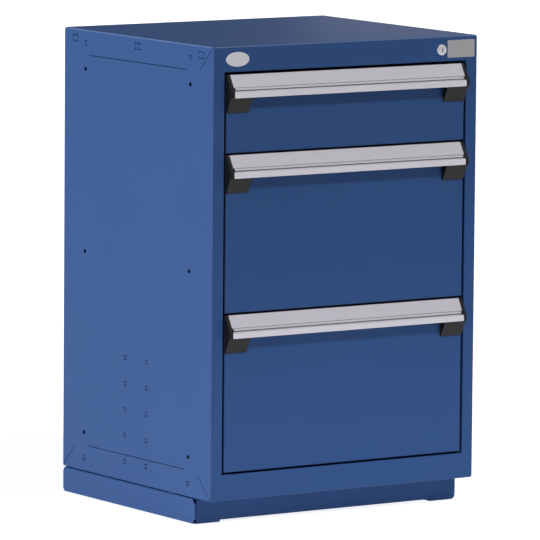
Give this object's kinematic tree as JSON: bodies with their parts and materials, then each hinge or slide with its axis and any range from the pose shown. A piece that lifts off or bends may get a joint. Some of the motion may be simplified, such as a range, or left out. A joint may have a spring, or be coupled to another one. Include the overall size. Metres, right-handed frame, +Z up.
{
  "type": "modular drawer cabinet",
  "caption": "Floor-standing folded-steel drawer cabinet on a recessed base, with roller-slide drawers, full-width aluminium pull handles and a key lock.",
  "frame": {"origin": "middle of the bounding box at floor height", "axes": "+Z up, the drawers' fronts face -Y, +X to the right"},
  "size_m": [0.6096, 0.5522, 0.9167],
  "materials": {
    "blue_paint": "satin powder coat",
    "zinc_steel": "zinc plated",
    "roller_plastic": "moulded nylon",
    "aluminium": "satin anodised",
    "black_plastic": "moulded",
    "lock_nickel": "satin nickel",
    "badge_enamel": "glossy",
    "plate_foil": "satin"
  },
  "bodies": {
    "housing": {"back_panel": "blue_paint", "base_bolts": "zinc_steel", "base_front_plate": "blue_paint", "base_left_channel": "blue_paint", "base_rear_plate": "blue_paint", "base_right_channel": "blue_paint", "blank_badge": "badge_enamel", "blank_data_plate": "plate_foil", "bottom_panel": "blue_paint", "fixed_rails": "zinc_steel", "front_posts": "blue_paint", "left_side_panel": "blue_paint", "lock_bar_guides": "black_plastic", "lock_housing": "lock_nickel", "lock_nut": "zinc_steel", "rail_screws": "zinc_steel", "rear_posts": "blue_paint", "right_side_panel": "blue_paint", "top_panel": "blue_paint"},
    "top_drawer": {"top_drawer_box": "blue_paint", "top_drawer_front": "blue_paint", "top_handle": "aluminium", "top_handle_caps": "black_plastic", "top_handle_screws": "zinc_steel", "top_lock_catch": "zinc_steel", "top_runners": "zinc_steel"},
    "top_carriage": {"top_axle_pins": "zinc_steel", "top_carriages": "zinc_steel"},
    "top_front_roller_set": {"top_front_rollers": "roller_plastic"},
    "top_middle_roller_set": {"top_middle_rollers": "roller_plastic"},
    "top_rear_roller_set": {"top_rear_rollers": "roller_plastic"},
    "middle_drawer": {"middle_drawer_box": "blue_paint", "middle_drawer_front": "blue_paint", "middle_handle": "aluminium", "middle_handle_caps": "black_plastic", "middle_handle_screws": "zinc_steel", "middle_lock_catch": "zinc_steel", "middle_runners": "zinc_steel"},
    "middle_carriage": {"middle_axle_pins": "zinc_steel", "middle_carriages": "zinc_steel"},
    "middle_front_roller_set": {"middle_front_rollers": "roller_plastic"},
    "middle_middle_roller_set": {"middle_middle_rollers": "roller_plastic"},
    "middle_rear_roller_set": {"middle_rear_rollers": "roller_plastic"},
    "bottom_drawer": {"bottom_drawer_box": "blue_paint", "bottom_drawer_front": "blue_paint", "bottom_handle": "aluminium", "bottom_handle_caps": "black_plastic", "bottom_handle_screws": "zinc_steel", "bottom_lock_catch": "zinc_steel", "bottom_runners": "zinc_steel"},
    "bottom_carriage": {"bottom_axle_pins": "zinc_steel", "bottom_carriages": "zinc_steel"},
    "bottom_front_roller_set": {"bottom_front_rollers": "roller_plastic"},
    "bottom_middle_roller_set": {"bottom_middle_rollers": "roller_plastic"},
    "bottom_rear_roller_set": {"bottom_rear_rollers": "roller_plastic"},
    "lock_bar": {"lock_bar": "zinc_steel"},
    "lock_barrel": {"lock_plug": "lock_nickel", "lock_cam": "zinc_steel", "lock_cam_screw": "zinc_steel"}
  },
  "joints": [
    {"name": "top_drawer_slide", "type": "slide", "parent": "housing", "child": "top_drawer", "axis": [0, -1, 0], "range_m": [0, 0.43]},
    {"name": "top_carriage_slide", "type": "slide", "parent": "housing", "child": "top_carriage", "axis": [0, -1, 0], "range_m": [0, 0.215]},
    {"name": "top_front_roller_spin", "type": "hinge", "parent": "top_carriage", "child": "top_front_roller_set", "pos_m": [0, -0.2033, 0.7523], "axis": [1, 0, 0], "range_deg": [0, 1027]},
    {"name": "top_middle_roller_spin", "type": "hinge", "parent": "top_carriage", "child": "top_middle_roller_set", "pos_m": [0, 0.0079, 0.7523], "axis": [1, 0, 0], "range_deg": [0, 1027]},
    {"name": "top_rear_roller_spin", "type": "hinge", "parent": "top_carriage", "child": "top_rear_roller_set", "pos_m": [0, 0.2271, 0.7523], "axis": [1, 0, 0], "range_deg": [0, 1027]},
    {"name": "middle_drawer_slide", "type": "slide", "parent": "housing", "child": "middle_drawer", "axis": [0, -1, 0], "range_m": [0, 0.43]},
    {"name": "middle_carriage_slide", "type": "slide", "parent": "housing", "child": "middle_carriage", "axis": [0, -1, 0], "range_m": [0, 0.215]},
    {"name": "middle_front_roller_spin", "type": "hinge", "parent": "middle_carriage", "child": "middle_front_roller_set", "pos_m": [0, -0.2033, 0.4475], "axis": [1, 0, 0], "range_deg": [0, 1027]},
    {"name": "middle_middle_roller_spin", "type": "hinge", "parent": "middle_carriage", "child": "middle_middle_roller_set", "pos_m": [0, 0.0079, 0.4475], "axis": [1, 0, 0], "range_deg": [0, 1027]},
    {"name": "middle_rear_roller_spin", "type": "hinge", "parent": "middle_carriage", "child": "middle_rear_roller_set", "pos_m": [0, 0.2271, 0.4475], "axis": [1, 0, 0], "range_deg": [0, 1027]},
    {"name": "bottom_drawer_slide", "type": "slide", "parent": "housing", "child": "bottom_drawer", "axis": [0, -1, 0], "range_m": [0, 0.43]},
    {"name": "bottom_carriage_slide", "type": "slide", "parent": "housing", "child": "bottom_carriage", "axis": [0, -1, 0], "range_m": [0, 0.215]},
    {"name": "bottom_front_roller_spin", "type": "hinge", "parent": "bottom_carriage", "child": "bottom_front_roller_set", "pos_m": [0, -0.2033, 0.1427], "axis": [1, 0, 0], "range_deg": [0, 1027]},
    {"name": "bottom_middle_roller_spin", "type": "hinge", "parent": "bottom_carriage", "child": "bottom_middle_roller_set", "pos_m": [0, 0.0079, 0.1427], "axis": [1, 0, 0], "range_deg": [0, 1027]},
    {"name": "bottom_rear_roller_spin", "type": "hinge", "parent": "bottom_carriage", "child": "bottom_rear_roller_set", "pos_m": [0, 0.2271, 0.1427], "axis": [1, 0, 0], "range_deg": [0, 1027]},
    {"name": "lock_bar_lift", "type": "slide", "parent": "housing", "child": "lock_bar", "axis": [0, 0, 1], "range_m": [0, 0.01273]},
    {"name": "lock_turn", "type": "hinge", "parent": "housing", "child": "lock_barrel", "pos_m": [0.2201, -0.2573, 0.8908], "axis": [0, -1, 0], "range_deg": [0, 90]}
  ],
  "couplings": [
    {"joint": "top_carriage_slide", "follows": "top_drawer_slide", "ratio": 0.5},
    {"joint": "top_front_roller_spin", "follows": "top_drawer_slide", "rad_per_m": 41.667},
    {"joint": "top_middle_roller_spin", "follows": "top_drawer_slide", "rad_per_m": 41.667},
    {"joint": "top_rear_roller_spin", "follows": "top_drawer_slide", "rad_per_m": 41.667},
    {"joint": "middle_carriage_slide", "follows": "middle_drawer_slide", "ratio": 0.5},
    {"joint": "middle_front_roller_spin", "follows": "middle_drawer_slide", "rad_per_m": 41.667},
    {"joint": "middle_middle_roller_spin", "follows": "middle_drawer_slide", "rad_per_m": 41.667},
    {"joint": "middle_rear_roller_spin", "follows": "middle_drawer_slide", "rad_per_m": 41.667},
    {"joint": "bottom_carriage_slide", "follows": "bottom_drawer_slide", "ratio": 0.5},
    {"joint": "bottom_front_roller_spin", "follows": "bottom_drawer_slide", "rad_per_m": 41.667},
    {"joint": "bottom_middle_roller_spin", "follows": "bottom_drawer_slide", "rad_per_m": 41.667},
    {"joint": "bottom_rear_roller_spin", "follows": "bottom_drawer_slide", "rad_per_m": 41.667},
    {"joint": "lock_turn", "follows": "lock_bar_lift", "rad_per_m": 123.41}
  ]
}
